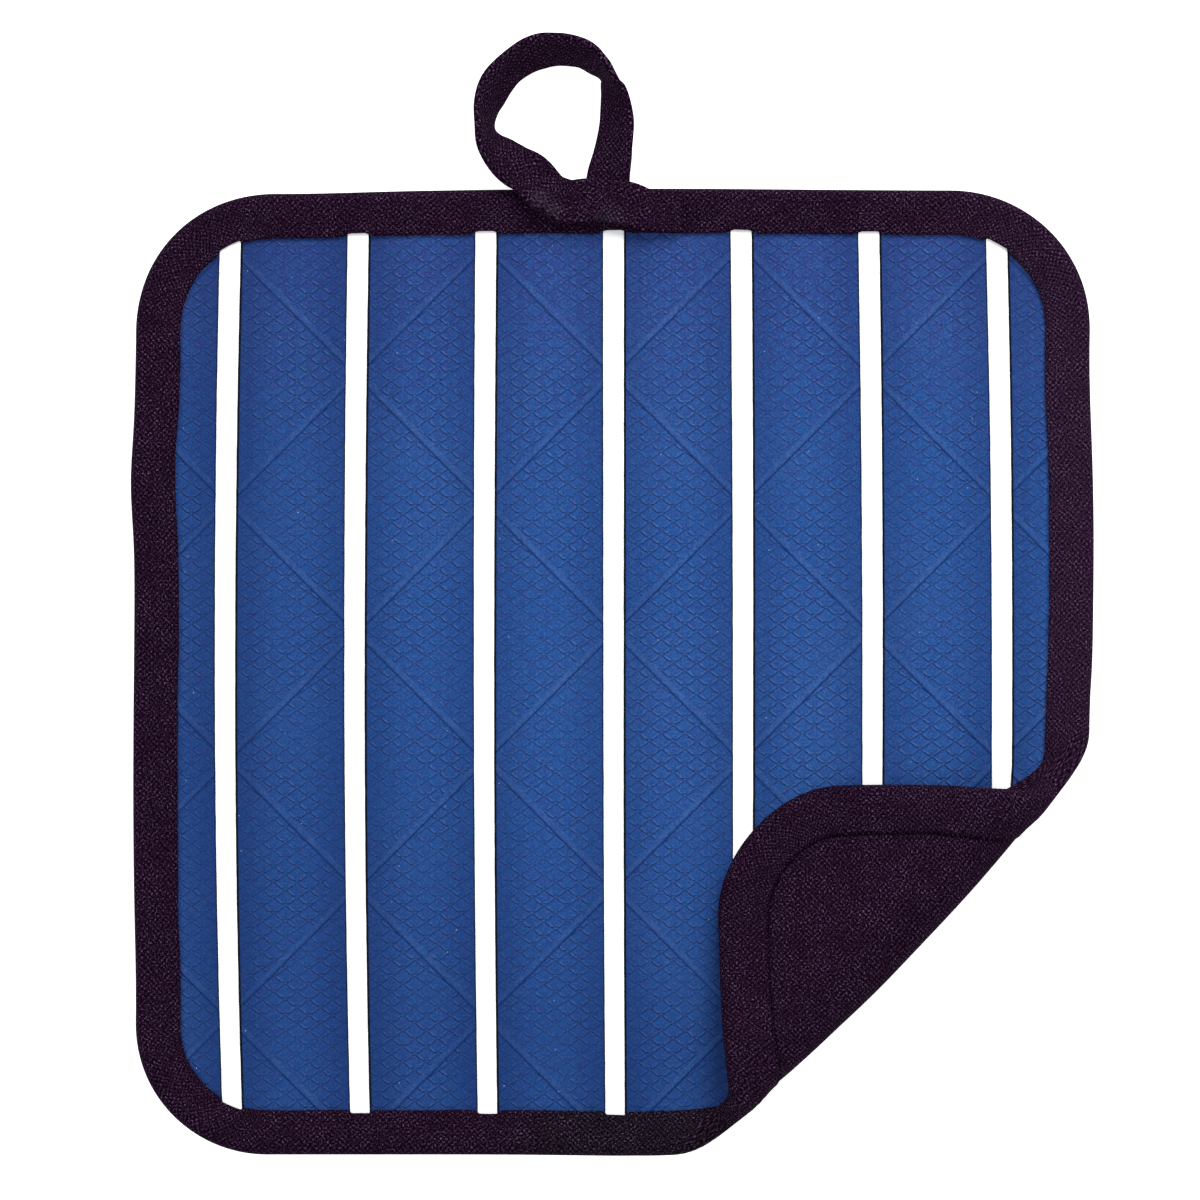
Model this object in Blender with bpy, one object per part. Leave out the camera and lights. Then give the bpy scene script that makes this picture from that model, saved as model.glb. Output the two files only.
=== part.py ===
# A square pot holder lying on its cotton back. The silicone face has raised diagonal ridges and
# seven white strips, folded tape binds the edge, one corner is turned over the face, and a loop
# of the same tape is sewn to the top edge. All sizes are in millimetres: X runs to the right,
# Y towards the loop and Z up. The pieces are drawn round the middle of the square's underside,
# and then moved together, so that the origin is below the middle of the whole.
import math

import bmesh
import bpy
from mathutils import Matrix, Vector

MM = 0.001

# Edges that bend more than this are shaded sharp.
SHARP_DEGREES = 18.0

# Points nearer than these to a cut, to a line, or to each other count as on it or as one.
CUT_TOLERANCE = 0.01
LINE_TOLERANCE = 0.02
WELD_DISTANCE = 0.03

# The square as it lies flat, before its corner is turned over.
WIDTH = 202.8
HEIGHT = 204.1
CORNER_RADIUS = 28.8
TURNED_CORNER_RADIUS = 26.0
CORNER_STEPS = 8
SIDE_STEP = 14.0

# The outline is a little uneven: a positive offset pushes that side outwards.
# Columns: side, place along the side, offset, spread.
EDGE_BUMPS = (
    ("left", 40.0, 0.8, 11.0),
    ("left", -68.0, -0.5, 16.0),
    ("right", 66.0, -0.6, 18.0),
    ("right", -6.0, -0.5, 13.0),
    ("right", -43.0, -0.4, 10.0),
    ("right", -82.0, 1.3, 24.0),
    ("top", -70.0, -0.7, 22.0),
    ("top", 10.0, 0.4, 38.0),
    ("bottom", 6.0, 0.3, 20.0),
    ("bottom", 78.0, 0.7, 26.0),
)
SIDE_NORMALS = {
    "left": Vector((-1.0, 0.0)),
    "right": Vector((1.0, 0.0)),
    "top": Vector((0.0, 1.0)),
    "bottom": Vector((0.0, -1.0)),
}

# The layers, from the surface upwards, with a fine gap between neighbours.
GAP = 0.3
TAPE_THICKNESS = 0.8
BACK_THICKNESS = 1.0
FACE_THICKNESS = 1.2
RIDGE_HEIGHT = 0.25
STRIPE_THICKNESS = 0.5
BACK_BOTTOM = TAPE_THICKNESS + GAP
FACE_BOTTOM = BACK_BOTTOM + BACK_THICKNESS + GAP
FACE_TOP = FACE_BOTTOM + FACE_THICKNESS
STRIPE_BOTTOM = FACE_TOP + RIDGE_HEIGHT + GAP
STRIPE_TOP = STRIPE_BOTTOM + STRIPE_THICKNESS
RIM_HEIGHT = STRIPE_TOP + GAP + TAPE_THICKNESS
NEUTRAL_HEIGHT = (BACK_BOTTOM + FACE_TOP) / 2

# The folded tape that binds the edge.
BINDING_WIDTH = 9.5
BINDING_BACK_WIDTH = 10.6
NOSE_DEPTH = 2.2
NOSE_STEPS = 6
LIP_CHAMFER = 0.3
SHEET_INSET = 2.0

# Diagonal ridges of the face: both diagonals, each a low bead.
RIDGE_WIDTH = 1.3
RIDGE_PITCH = 54.4
RIDGE_CROSSING_Y = 9.1
RIDGE_LINES = range(-4, 5)
RIDGE_FOOT_INSET = BINDING_WIDTH + 0.5
RIDGE_CREST_INSET = BINDING_WIDTH + 1.6

# White strips, side by side, their ends held under the binding.
STRIPE_COUNT = 7
STRIPE_WIDTH = 4.7
STRIPE_PITCH = 27.4
STRIPE_BOW = 0.35
STRIPE_HALF_LENGTH = 95.0
STRIPE_STEPS = 8
STRIPE_CHAMFER = 0.2

# The turned corner. It is rolled about an axis square to TURN_ANGLE, which points to the lower
# right corner, and the roll starts at TURN_START from the origin, measured along that angle.
TURN_ANGLE = math.radians(-43.7)
TURN_START = 76.0
TURN_AXIS_MIDDLE = 0.0
TURN_HALF_WIDTH = 56.0
TURN_BOW = 3.2

# Spans of the roll in section. Columns: name, length, angle of the cloth at the span's end.
ROLL_SPANS = (
    ("lift", 7.0, 30.0),
    ("turn over", 14.4, 180.0),
    ("come down", 9.0, 202.0),
    ("settle", 25.0, 178.0),
)

# At the ends of the roll the bound edge is drawn in along the roll's axis.
PINCH_RIGHT = 9.0
PINCH_BOTTOM = 6.5
PINCH_BEFORE = 4.0
PINCH_AFTER = 24.0

# Where the pieces are scored, so that all layers bend alike. Columns: from, to, step.
SCORE_ROWS = (
    (72.0, 81.0, 3.0),
    (82.3, 101.0, 1.3),
    (104.0, 130.0, 4.5),
)
SCORE_COLUMNS = (-66.0, 72.0, 12.0)

# The hanging loop, a doubled tape. It starts on the top binding, turns round clockwise and comes
# back under its own start. Tilt raises the outer edge. Columns: x, y, z, tilt in degrees.
LOOP_TAPE_WIDTH = 9.4
LOOP_TAPE_THICKNESS = 1.5
LOOP_CHAMFER = 0.35
LOOP_STEPS_PER_ROW = 3
LOOP_ROWS = (
    (14.5, 97.6, 6.9, 0.0),
    (10.2, 97.9, 7.1, 0.0),
    (6.6, 98.5, 8.2, 0.0),
    (3.3, 99.2, 9.1, 0.0),
    (-1.4, 99.7, 9.2, 0.0),
    (-5.9, 99.9, 9.0, 0.0),
    (-9.8, 101.0, 8.6, 2.0),
    (-13.2, 103.0, 8.0, 7.0),
    (-17.6, 105.3, 7.5, 22.0),
    (-21.9, 108.2, 6.9, 42.0),
    (-25.5, 111.3, 6.1, 60.0),
    (-27.5, 115.6, 5.4, 72.0),
    (-27.0, 119.9, 5.1, 66.0),
    (-25.1, 124.9, 4.7, 56.0),
    (-21.9, 128.3, 4.5, 51.0),
    (-17.8, 130.9, 4.4, 50.0),
    (-12.7, 131.8, 4.5, 50.0),
    (-8.0, 131.3, 4.7, 53.0),
    (-4.4, 129.4, 4.9, 58.0),
    (-1.9, 126.6, 5.1, 64.0),
    (-0.2, 123.5, 5.1, 64.0),
    (0.7, 119.8, 4.8, 55.0),
    (0.6, 115.3, 4.5, 46.0),
    (0.0, 110.8, 4.9, 32.0),
    (-0.9, 106.2, 6.1, 12.0),
    (-1.4, 102.4, 6.9, 0.0),
    (-1.7, 98.0, 6.9, 0.0),
)

BLUE = (0.035, 0.085, 0.30, 1.0)
WHITE = (0.85, 0.85, 0.86, 1.0)
AUBERGINE = (0.022, 0.011, 0.019, 1.0)

TURN_NORMAL = Vector((math.cos(TURN_ANGLE), math.sin(TURN_ANGLE)))
TURN_AXIS = Vector((math.sin(TURN_ANGLE), -math.cos(TURN_ANGLE)))


def clear_scene():
    for thing in list(bpy.data.objects):
        bpy.data.objects.remove(thing)


def make_material(name, colour, roughness):
    material = bpy.data.materials.new(name)
    material.use_nodes = True
    shader = material.node_tree.nodes["Principled BSDF"]
    shader.inputs["Base Color"].default_value = colour
    shader.inputs["Roughness"].default_value = roughness
    shader.inputs["Metallic"].default_value = 0.0
    material.diffuse_color = colour
    return material


def bumped(point, normal):
    moved = point.copy()
    for side, place, offset, spread in EDGE_BUMPS:
        side_normal = SIDE_NORMALS[side]
        along = point.y if side in ("left", "right") else point.x
        share = max(0.0, normal.dot(side_normal))
        moved += side_normal * offset * share * math.exp(-((along - place) / spread) ** 2)
    return moved


def outline_stations():
    """Points of the edge and their outward normals, anticlockwise from the lower right corner."""
    corners = (
        (1, -1, -90.0, TURNED_CORNER_RADIUS),
        (1, 1, 0.0, CORNER_RADIUS),
        (-1, 1, 90.0, CORNER_RADIUS),
        (-1, -1, 180.0, CORNER_RADIUS),
    )
    arcs = []
    for side_x, side_y, first_angle, radius in corners:
        centre = Vector((side_x * (WIDTH / 2 - radius), side_y * (HEIGHT / 2 - radius)))
        arc = []
        for step in range(CORNER_STEPS + 1):
            angle = math.radians(first_angle + 90.0 * step / CORNER_STEPS)
            normal = Vector((math.cos(angle), math.sin(angle)))
            arc.append((centre + normal * radius, normal))
        arcs.append(arc)

    stations = []
    for arc, next_arc in zip(arcs, arcs[1:] + arcs[:1]):
        stations += arc
        start, normal = arc[-1]
        end = next_arc[0][0]
        count = round((end - start).length / SIDE_STEP)
        stations += [(start.lerp(end, step / count), normal) for step in range(1, count)]
    return [(bumped(point, normal), normal) for point, normal in stations]


def ring(mesh, stations, inset, height):
    return [mesh.verts.new((*(point - normal * inset), height)) for point, normal in stations]


def bridge(mesh, lower, upper):
    faces = []
    count = len(lower)
    for index in range(count):
        following = (index + 1) % count
        corners = (lower[index], lower[following], upper[following], upper[index])
        faces.append(mesh.faces.new(corners))
    return faces


def cut(mesh, faces, point, normal):
    """Score the given faces along an upright plane through point, in the flat state."""
    geometry = list(faces)
    geometry += {edge for face in faces for edge in face.edges}
    geometry += {vert for face in faces for vert in face.verts}
    bmesh.ops.bisect_plane(
        mesh,
        geom=geometry,
        dist=CUT_TOLERANCE,
        plane_co=(point.x, point.y, 0.0),
        plane_no=(normal.x, normal.y, 0.0),
    )


def steps_between(start, end, step):
    return [start + step * index for index in range(int((end - start) / step) + 1)]


def score_for_turn(mesh):
    """Cut every face of the turned corner in rows along the roll and in columns across it."""
    limit = SCORE_ROWS[0][0]

    def turned_faces():
        return [
            face for face in mesh.faces
            if min(vert.co.xy.dot(TURN_NORMAL) for vert in face.verts) > limit - LINE_TOLERANCE
        ]

    reaching = [
        face for face in mesh.faces
        if max(vert.co.xy.dot(TURN_NORMAL) for vert in face.verts) > limit
    ]
    if not reaching:
        return
    cut(mesh, reaching, TURN_NORMAL * limit, TURN_NORMAL)
    for start, end, step in SCORE_ROWS:
        for place in steps_between(start, end, step):
            cut(mesh, turned_faces(), TURN_NORMAL * place, TURN_NORMAL)
    for place in steps_between(*SCORE_COLUMNS):
        cut(mesh, turned_faces(), TURN_AXIS * place, TURN_AXIS)


def roll_section(length):
    """Place and angle on the roll's neutral line, at a length past the start of the roll."""
    if length <= 0.0:
        return length, 0.0, 0.0
    across, height, angle = 0.0, 0.0, 0.0
    for _, span, end_degrees in ROLL_SPANS:
        end_angle = math.radians(end_degrees)
        radius = span / (end_angle - angle)
        reached = angle + min(length, span) / radius
        across += radius * (math.sin(reached) - math.sin(angle))
        height += radius * (math.cos(angle) - math.cos(reached))
        angle = reached
        length -= span
        if length <= 0.0:
            return across, height, angle
    return across + length * math.cos(angle), height + length * math.sin(angle), angle


def quarter_turn_length():
    lift_length, lift_angle = ROLL_SPANS[0][1:]
    over_length, over_angle = ROLL_SPANS[1][1:]
    return lift_length + over_length * (90.0 - lift_angle) / (over_angle - lift_angle)


def turned(point):
    """Where a point of the flat pot holder lies once the corner is turned over."""
    along_normal = point.xy.dot(TURN_NORMAL)
    along_axis = point.xy.dot(TURN_AXIS)
    end_share = (along_axis - TURN_AXIS_MIDDLE) / TURN_HALF_WIDTH
    start = TURN_START - TURN_BOW * end_share ** 2

    from_fold = along_normal - start - quarter_turn_length()
    reach = PINCH_BEFORE if from_fold < 0.0 else PINCH_AFTER
    pinch = PINCH_RIGHT if end_share < 0.0 else PINCH_BOTTOM
    drawn_in = pinch * end_share * abs(end_share) * math.exp(-(from_fold / reach) ** 2)
    along_axis -= drawn_in

    across, height, angle = roll_section(along_normal - start)
    above = point.z - NEUTRAL_HEIGHT
    across -= above * math.sin(angle)
    height += above * math.cos(angle)
    place = TURN_NORMAL * (start + across) + TURN_AXIS * along_axis
    return Vector((place.x, place.y, height + NEUTRAL_HEIGHT))


def finish(mesh, name, material, is_turned=True):
    """Score, triangulate and turn a flat solid, then store it as an object in metres."""
    if is_turned:
        score_for_turn(mesh)
    bmesh.ops.remove_doubles(mesh, verts=mesh.verts, dist=WELD_DISTANCE)
    bmesh.ops.triangulate(mesh, faces=mesh.faces, quad_method="BEAUTY", ngon_method="BEAUTY")
    for vert in mesh.verts:
        vert.co = (turned(vert.co) if is_turned else vert.co) * MM
    bmesh.ops.recalc_face_normals(mesh, faces=mesh.faces)
    data = bpy.data.meshes.new(name)
    mesh.to_mesh(data)
    mesh.free()
    data.materials.append(material)
    data.shade_smooth()
    data.set_sharp_from_angle(angle=math.radians(SHARP_DEGREES))
    piece = bpy.data.objects.new(name, data)
    bpy.context.scene.collection.objects.link(piece)
    return piece


def make_back_panel(stations):
    mesh = bmesh.new()
    lower = ring(mesh, stations, SHEET_INSET, BACK_BOTTOM)
    upper = ring(mesh, stations, SHEET_INSET, BACK_BOTTOM + BACK_THICKNESS)
    mesh.faces.new(list(reversed(lower)))
    bridge(mesh, lower, upper)
    mesh.faces.new(upper)
    return finish(mesh, "back_panel", make_material("cotton back", AUBERGINE, 0.9))


def ridge_planes():
    """Centre point and normal of each ridge line, for both diagonals."""
    for slope in (1, -1):
        normal = Vector((1.0, slope)).normalized()
        for line in RIDGE_LINES:
            through = Vector((0.0, RIDGE_CROSSING_Y + RIDGE_PITCH * line))
            yield through, normal


def make_face_panel(stations):
    mesh = bmesh.new()
    lower = ring(mesh, stations, SHEET_INSET, FACE_BOTTOM)
    upper = ring(mesh, stations, SHEET_INSET, FACE_TOP)
    foot = ring(mesh, stations, RIDGE_FOOT_INSET, FACE_TOP)
    crest = ring(mesh, stations, RIDGE_CREST_INSET, FACE_TOP)
    mesh.faces.new(list(reversed(lower)))
    bridge(mesh, lower, upper)
    bridge(mesh, upper, foot)
    sloped = bridge(mesh, foot, crest)
    window = mesh.faces.new(crest)

    # The ridged faces are tagged by material index while the ridges are cut.
    for face in sloped:
        face.material_index = 1
    window.material_index = 2
    for through, normal in ridge_planes():
        for offset in (-RIDGE_WIDTH / 2, 0.0, RIDGE_WIDTH / 2):
            ridged = [face for face in mesh.faces if face.material_index > 0]
            cut(mesh, ridged, through + normal * offset, normal)

    def on_crest(vert):
        distances = [abs((vert.co.xy - through).dot(normal)) for through, normal in ridge_planes()]
        return min(distances) < LINE_TOLERANCE

    window_faces = [face for face in mesh.faces if face.material_index == 2]
    for vert in {vert for face in window_faces for vert in face.verts}:
        if on_crest(vert):
            vert.co.z += RIDGE_HEIGHT
    for face in mesh.faces:
        face.material_index = 0
    return finish(mesh, "face_panel", make_material("blue silicone", BLUE, 0.45))


def make_stripe(number):
    """One white strip, bowed a little outwards at mid-height like its neighbours."""
    column = number - (STRIPE_COUNT + 1) / 2
    half = STRIPE_WIDTH / 2
    section = (
        (-half, STRIPE_BOTTOM),
        (half, STRIPE_BOTTOM),
        (half, STRIPE_TOP - STRIPE_CHAMFER),
        (half - STRIPE_CHAMFER, STRIPE_TOP),
        (-half + STRIPE_CHAMFER, STRIPE_TOP),
        (-half, STRIPE_TOP - STRIPE_CHAMFER),
    )
    mesh = bmesh.new()
    rings = []
    for step in range(STRIPE_STEPS + 1):
        share = 1.0 - 2.0 * step / STRIPE_STEPS
        middle = column * (STRIPE_PITCH - STRIPE_BOW * share ** 2)
        place = STRIPE_HALF_LENGTH * share
        rings.append([mesh.verts.new((middle + x, place, z)) for x, z in section])
    for first, second in zip(rings, rings[1:]):
        bridge(mesh, first, second)
    mesh.faces.new(list(reversed(rings[0])))
    mesh.faces.new(rings[-1])
    return finish(mesh, f"stripe_{number}", make_material(f"white strip {number}", WHITE, 0.5))


def nose(depth, low, high, steps, rising):
    """Half an ellipse round the edge, as inset and height, from low to high or back."""
    middle = (low + high) / 2
    points = []
    for step in range(steps + 1):
        angle = math.pi * step / steps - math.pi / 2
        if not rising:
            angle = -angle
        inset = NOSE_DEPTH - depth * math.cos(angle)
        points.append((inset, middle + (high - low) / 2 * math.sin(angle)))
    return points


def make_binding(stations):
    """Folded tape round the whole edge: a leg below, a rounded nose and a leg above."""
    upper_leg = RIM_HEIGHT - TAPE_THICKNESS
    section = [(BINDING_BACK_WIDTH, 0.0)]
    section += nose(NOSE_DEPTH, 0.0, RIM_HEIGHT, NOSE_STEPS, True)
    section += [
        (BINDING_WIDTH - LIP_CHAMFER, RIM_HEIGHT),
        (BINDING_WIDTH, RIM_HEIGHT - LIP_CHAMFER),
        (BINDING_WIDTH, upper_leg),
    ]
    inner_depth = NOSE_DEPTH - TAPE_THICKNESS
    section += nose(inner_depth, TAPE_THICKNESS, upper_leg, NOSE_STEPS - 1, False)
    section += [(BINDING_BACK_WIDTH, TAPE_THICKNESS)]
    mesh = bmesh.new()
    rings = [ring(mesh, stations, inset, height) for inset, height in section]
    for first, second in zip(rings, rings[1:] + rings[:1]):
        bridge(mesh, first, second)
    return finish(mesh, "binding", make_material("aubergine tape", AUBERGINE, 0.9))


def smooth_rows(rows, steps):
    """Rows read from a smooth curve through the given rows, steps to each interval."""
    points = [rows[0]] + list(rows) + [rows[-1]]
    smooth = []
    for before, start, end, after in zip(points, points[1:], points[2:], points[3:]):
        for step in range(steps):
            share = step / steps
            row = []
            for a, b, c, d in zip(before, start, end, after):
                linear = (c - a) * share
                square = (2 * a - 5 * b + 4 * c - d) * share ** 2
                cubic = (3 * b - a - 3 * c + d) * share ** 3
                row.append(b + (linear + square + cubic) / 2)
            smooth.append(row)
    smooth.append(list(rows[-1]))
    return smooth


def make_hanging_loop():
    half_width = LOOP_TAPE_WIDTH / 2
    half_height = LOOP_TAPE_THICKNESS / 2
    inner = half_width - LOOP_CHAMFER
    section = (
        (-half_width, -half_height + LOOP_CHAMFER),
        (-inner, -half_height),
        (inner, -half_height),
        (half_width, -half_height + LOOP_CHAMFER),
        (half_width, half_height - LOOP_CHAMFER),
        (inner, half_height),
        (-inner, half_height),
        (-half_width, half_height - LOOP_CHAMFER),
    )
    rows = smooth_rows(LOOP_ROWS, LOOP_STEPS_PER_ROW)
    centres = [Vector(row[:3]) for row in rows]
    mesh = bmesh.new()
    rings = []
    for index, centre in enumerate(centres):
        ahead = centres[min(index + 1, len(centres) - 1)] - centres[max(index - 1, 0)]
        tangent = ahead.normalized()
        level_side = Vector((0.0, 0.0, 1.0)).cross(tangent).normalized()
        upright = tangent.cross(level_side)
        tilt = math.radians(rows[index][3])
        outward = level_side * math.cos(tilt) + upright * math.sin(tilt)
        normal = tangent.cross(outward)
        rings.append([mesh.verts.new(centre + outward * x + normal * z) for x, z in section])
    for first, second in zip(rings, rings[1:]):
        bridge(mesh, first, second)
    mesh.faces.new(list(reversed(rings[0])))
    mesh.faces.new(rings[-1])
    material = make_material("aubergine loop tape", AUBERGINE, 0.9)
    return finish(mesh, "hanging_loop", material, is_turned=False)


def stand_on_origin(pieces):
    """Move all the pieces, so that the middle of their common base is the origin."""
    points = [vert.co for piece in pieces for vert in piece.data.vertices]
    low = [min(point[axis] for point in points) for axis in range(3)]
    high = [max(point[axis] for point in points) for axis in range(3)]
    base_middle = Vector(((low[0] + high[0]) / 2, (low[1] + high[1]) / 2, low[2]))
    for piece in pieces:
        piece.data.transform(Matrix.Translation(-base_middle))


def main():
    clear_scene()
    stations = outline_stations()
    pieces = [make_back_panel(stations), make_face_panel(stations)]
    pieces += [make_stripe(number) for number in range(1, STRIPE_COUNT + 1)]
    pieces += [make_binding(stations), make_hanging_loop()]
    stand_on_origin(pieces)


main()
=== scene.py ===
# A square pot holder lying on its cotton back: embossed blue silicone with white strips, a dark
# cotton tape round the edge, a hanging loop of the same tape, and one corner turned over.
import math

import bmesh
import bpy
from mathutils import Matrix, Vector, noise


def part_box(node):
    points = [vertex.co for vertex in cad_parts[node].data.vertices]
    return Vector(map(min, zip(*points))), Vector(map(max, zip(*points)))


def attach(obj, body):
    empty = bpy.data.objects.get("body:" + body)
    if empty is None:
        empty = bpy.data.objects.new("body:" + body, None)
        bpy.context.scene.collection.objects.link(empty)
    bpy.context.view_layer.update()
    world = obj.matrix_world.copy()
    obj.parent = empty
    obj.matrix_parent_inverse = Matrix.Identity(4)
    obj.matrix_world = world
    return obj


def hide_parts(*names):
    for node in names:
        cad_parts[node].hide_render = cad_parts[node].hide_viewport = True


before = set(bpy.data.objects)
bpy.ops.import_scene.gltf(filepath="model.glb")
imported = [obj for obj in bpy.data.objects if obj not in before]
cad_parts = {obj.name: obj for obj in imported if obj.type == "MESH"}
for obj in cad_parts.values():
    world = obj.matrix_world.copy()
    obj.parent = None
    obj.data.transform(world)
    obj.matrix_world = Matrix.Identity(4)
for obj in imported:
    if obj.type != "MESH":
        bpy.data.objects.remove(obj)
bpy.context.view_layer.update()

mm = 0.001

# Pieces are drawn flat, in millimetres, round the middle of the centre strip, which no fold moves.
stripLow, stripHigh = (Vector(corner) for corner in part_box("stripe_4"))
drawingMiddle = (stripLow + stripHigh) / 2
drawingMiddle.z = 0.0


def linear(hexColour):
    channels = [int(hexColour[place:place + 2], 16) / 255 for place in (1, 3, 5)]
    return (*[c / 12.92 if c <= 0.04045 else ((c + 0.055) / 1.055) ** 2.4 for c in channels], 1.0)


def newMaterial(name, **settings):
    material = bpy.data.materials.new(name)
    material.use_nodes = True
    shader = material.node_tree.nodes["Principled BSDF"]
    for socket, value in settings.items():
        shader.inputs[socket.replace("_", " ")].default_value = value
    return material, shader


def add(material, kind, inputs=None, **settings):
    # adds a node, with its settings, and its inputs as plain values or as links
    node = material.node_tree.nodes.new("ShaderNode" + kind)
    for name, value in settings.items():
        setattr(node, name, value)
    for name, value in (inputs or {}).items():
        if isinstance(value, bpy.types.NodeSocket):
            material.node_tree.links.new(value, node.inputs[name])
        else:
            node.inputs[name].default_value = value
    return node


def calculate(material, operation, *values):
    return add(material, "Math", dict(enumerate(values)), operation=operation).outputs[0]


def ramp(material, value, start, end, low=0.0, high=1.0):
    inputs = {"Value": value, "From Min": start, "From Max": end, "To Min": low, "To Max": high}
    return add(material, "MapRange", inputs, interpolation_type="SMOOTHSTEP").outputs[0]


def blend(material, share, first, second):
    return add(material, "Mix", {"Factor": share, 6: first, 7: second}, data_type="RGBA").outputs[2]


def inMillimetres(material):
    # where a point of the part is, in mm
    metres = add(material, "TexCoord").outputs["Object"]
    return add(material, "VectorMath", {0: metres, "Scale": 1 / mm}, operation="SCALE").outputs[0]


def mottle(material, where, size, detail=2.0):
    inputs = {"Vector": where, "Scale": 1 / size, "Detail": detail}
    return add(material, "TexNoise", inputs).outputs["Fac"]


def joinShader(material, shader, colour, height, relief):
    bump = add(material, "Bump", {"Strength": 1.0, "Distance": relief * mm, "Height": height})
    material.node_tree.links.new(colour, shader.inputs["Base Color"])
    material.node_tree.links.new(bump.outputs[0], shader.inputs["Normal"])


canvas = {
    "along": 0.61,  # mm from one thread to the next
    "across": 0.58,
    "hollow": "#050006",  # painted shade between the threads
    "thread": "#220E23",
    # columns: middle, reach and colour of a change: greyer below, painted light on the right, painted
    # highlights on the loop's tail
    "toneAndLightMarks": (
        ((4.0, -114.0, 0.0), 34.0, "#19171C"),
        ((108.0, 20.0, 0.0), 90.0, "#311D34"),
        ((-15.2, 83.8, 8.0), 3.0, "#352836"),
        ((-12.2, 81.4, 8.0), 2.8, "#352836"),
        ((-0.6, 79.5, 8.0), 4.6, "#2D2330"),
    ),
    "lint": "#5A4560",  # on the threads that stand proud
    "fibre": 0.36,  # sizes in mm
    "slub": 1.6,
    "wornPatch": 6.0,
    "hem": 0.9,
    "relief": 0.17,
    "fibreRelief": 0.5,  # how high the fibres stand, against the crowns
    # how much of the thread's colour its crown and its fibres bring out over the painted shade between the
    # threads, and the shade at the hem
    "crownTone": 0.46,
    "fibreTone": 0.54,
    "hemShade": 0.5,
}


def cottonCanvas(name, isTape=False):
    # Cotton duck, plain-woven and piece-dyed: a dull, near-black aubergine with small grey flecks
    # of lint where the threads ride over each other, and painted shade between the threads.
    material, shader = newMaterial(name, Roughness=0.95, IOR=1.47, Specular_IOR_Level=0.01)
    flat = add(material, "UVMap", uv_map="pattern").outputs["UV"]
    drift = add(material, "TexNoise", {"Vector": flat, "Scale": 1 / canvas["slub"], "Detail": 2.0})
    drifted = add(material, "VectorMath", {0: drift.outputs["Color"], 1: (0.5, 0.5, 0.0)},
                  operation="MULTIPLY").outputs[0]
    threads = add(material, "VectorMath", {0: flat, 1: drifted}, operation="ADD").outputs[0]
    split = add(material, "SeparateXYZ", {0: threads})
    counts = [
        calculate(material, "DIVIDE", split.outputs["X"], canvas["along"]),
        calculate(material, "DIVIDE", split.outputs["Y"], canvas["across"]),
    ]
    # both families of threads are on top in turn, so the paler floats are staggered
    waves = [
        calculate(material, "COSINE", calculate(material, "MULTIPLY", count, math.pi))
        for count in counts
    ]
    crown = ramp(material, calculate(material, "MULTIPLY", *waves), -0.6, 0.8)
    fibres = mottle(material, threads, canvas["fibre"], 3.0)
    worn = ramp(material, mottle(material, flat, canvas["wornPatch"]), 0.3, 0.7, 0.65, 1.3)
    tuft = calculate(material, "MULTIPLY", calculate(material, "MULTIPLY_ADD", crown, 0.8, 0.15), worn)
    lint = calculate(material, "MULTIPLY", ramp(material, fibres, 0.5, 0.68), tuft)
    fibreTone = ramp(material, fibres, 0.38, 0.62, 0.0, canvas["fibreTone"])
    tone = calculate(material, "MULTIPLY_ADD", crown, canvas["crownTone"], fibreTone)

    place = inMillimetres(material)
    dyed = linear(canvas["thread"])
    # greyer and darker below; painted light on the right side and painted highlights along the loop's tail
    for middle, reach, markColour in canvas["toneAndLightMarks"]:
        away = add(material, "VectorMath", {0: place, 1: middle}, operation="DISTANCE")
        mark = ramp(material, away.outputs["Value"], reach / 4, reach, 1.0, 0.0)
        dyed = blend(material, mark, dyed, linear(markColour))
    # painted shade: between the threads' crowns the colour darkens to near black
    ground = blend(material, tone, linear(canvas["hollow"]), dyed)
    colour = blend(material, lint, ground, linear(canvas["lint"]))
    if isTape:
        # dust and shade in the step along the edge that is laid down on the back
        edge = add(material, "SeparateXYZ", {0: flat}).outputs["Y"]
        crease = ramp(material, edge, 0.2, canvas["hem"], canvas["hemShade"], 0.0)
        colour = blend(material, crease, colour, linear(canvas["hollow"]))
    height = calculate(material, "MULTIPLY_ADD", fibres, canvas["fibreRelief"], crown)
    joinShader(material, shader, colour, height, canvas["relief"])
    return material


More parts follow.
